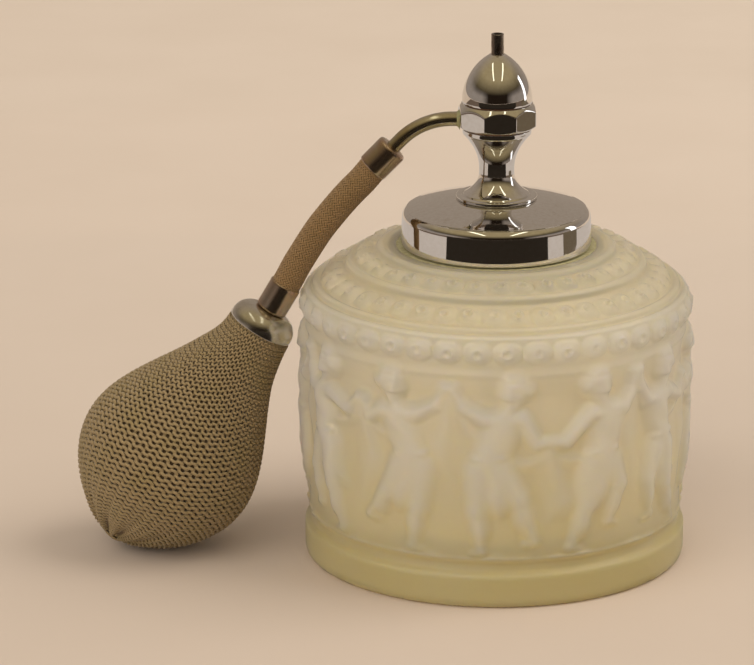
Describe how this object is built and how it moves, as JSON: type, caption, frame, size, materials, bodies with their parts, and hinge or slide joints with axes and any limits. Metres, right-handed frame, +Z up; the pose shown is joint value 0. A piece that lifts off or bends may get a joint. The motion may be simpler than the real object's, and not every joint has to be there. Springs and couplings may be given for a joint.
{
  "type": "perfume atomiser",
  "caption": "Squat frosted glass perfume bottle in low relief, with a screw-on metal spray head, a braided hose and a netted rubber squeeze bulb.",
  "frame": {"origin": "middle of the bottle's foot, on the surface it stands on", "axes": "+Z up along the bottle's axis, -X towards the bulb, +Y away from the viewer"},
  "size_m": [0.1562, 0.0999, 0.1346],
  "materials": {
    "frosted_glass": "frosted, faintly yellow",
    "plaster": "dull, stained",
    "brass": "dull",
    "cork": "matt",
    "polished_chrome": "polished",
    "fibre": "matt",
    "black_rubber": "matt",
    "clear_tube": "clear",
    "plated_tube": "worn",
    "worn_nickel": "worn, warm",
    "golden_braid": "woven",
    "white_bead": "gloss",
    "red_rubber": "matt",
    "khaki_net": "knitted"
  },
  "bodies": {
    "bottle": {"bottle": "frosted_glass", "neck_cement": "plaster", "neck_ring": "brass"},
    "gasket": {"neck_gasket": "cork"},
    "head": {"stem": "polished_chrome", "thrust_washer": "fibre", "stem_nut": "brass", "dip_tube_sleeve": "black_rubber", "dip_tube": "clear_tube", "liquid_jet": "plated_tube", "lower_ring_washer": "fibre"},
    "cap": {"collar_cap": "polished_chrome", "cap_thread_ring": "brass"},
    "arm": {"arm_ring": "polished_chrome", "air_pipe": "worn_nickel", "pipe_ferrule": "worn_nickel", "hose_liner_upper": "black_rubber", "hose_braid_upper": "golden_braid", "hose_hinge_ball": "black_rubber"},
    "washer": {"acorn_washer": "fibre"},
    "acorn": {"acorn_cap": "polished_chrome", "nozzle_tube": "plated_tube"},
    "bulb": {"hose_liner_lower": "black_rubber", "hose_braid_lower": "golden_braid", "bulb_ferrule": "worn_nickel", "bulb_collar": "worn_nickel", "bulb_nipple": "brass", "neck_binding": "brass", "bulb_bladder": "red_rubber", "bulb_net": "khaki_net"},
    "outlet": {"outlet_ball": "white_bead"},
    "tail": {"intake_valve": "brass", "tail_tie": "khaki_net"},
    "intake": {"intake_ball": "white_bead"}
  },
  "joints": [
    {"name": "gasket_lift", "type": "slide", "parent": "bottle", "child": "gasket", "axis": [0, 0, 1], "range_m": [0, 0.09]},
    {"name": "cap_rise", "type": "slide", "parent": "gasket", "child": "head", "axis": [0, 0, 1], "range_m": [0, 0.00375]},
    {"name": "cap_turn", "type": "hinge", "parent": "head", "child": "cap", "pos_m": [0, 0, 0.087], "axis": [0, 0, 1], "range_deg": [0, 540]},
    {"name": "arm_swivel", "type": "hinge", "parent": "head", "child": "arm", "pos_m": [0, 0, 0.1139], "axis": [0, 0, 1], "range_deg": [-180, 180]},
    {"name": "acorn_rise", "type": "slide", "parent": "head", "child": "washer", "axis": [0, 0, 1], "range_m": [0, 0.0031]},
    {"name": "acorn_turn", "type": "hinge", "parent": "washer", "child": "acorn", "pos_m": [0, 0, 0.123], "axis": [0, 0, 1], "range_deg": [0, 1080]},
    {"name": "hose_bend", "type": "hinge", "parent": "arm", "child": "bulb", "pos_m": [-0.0443, 0, 0.0845], "axis": [0, 1, 0], "range_deg": [0, 30], "stiffness_Nm_per_rad": 0.15},
    {"name": "outlet_lift", "type": "slide", "parent": "bulb", "child": "outlet", "axis": [0.5664, 0, 0.8241], "range_m": [0, 0.0007]},
    {"name": "bulb_squeeze", "type": "slide", "parent": "bulb", "child": "tail", "axis": [0.5664, 0, 0.8241], "range_m": [0, 0.016], "stiffness_N_per_m": 250, "deforming": ["bulb_bladder", "bulb_net"]},
    {"name": "intake_lift", "type": "slide", "parent": "tail", "child": "intake", "axis": [0.5664, 0, 0.8241], "range_m": [0, 0.0007]}
  ],
  "couplings": [
    {"joint": "cap_rise", "follows": "cap_turn", "m_per_rad": 0.00039789},
    {"joint": "acorn_rise", "follows": "acorn_turn", "m_per_rad": 0.00015915}
  ]
}
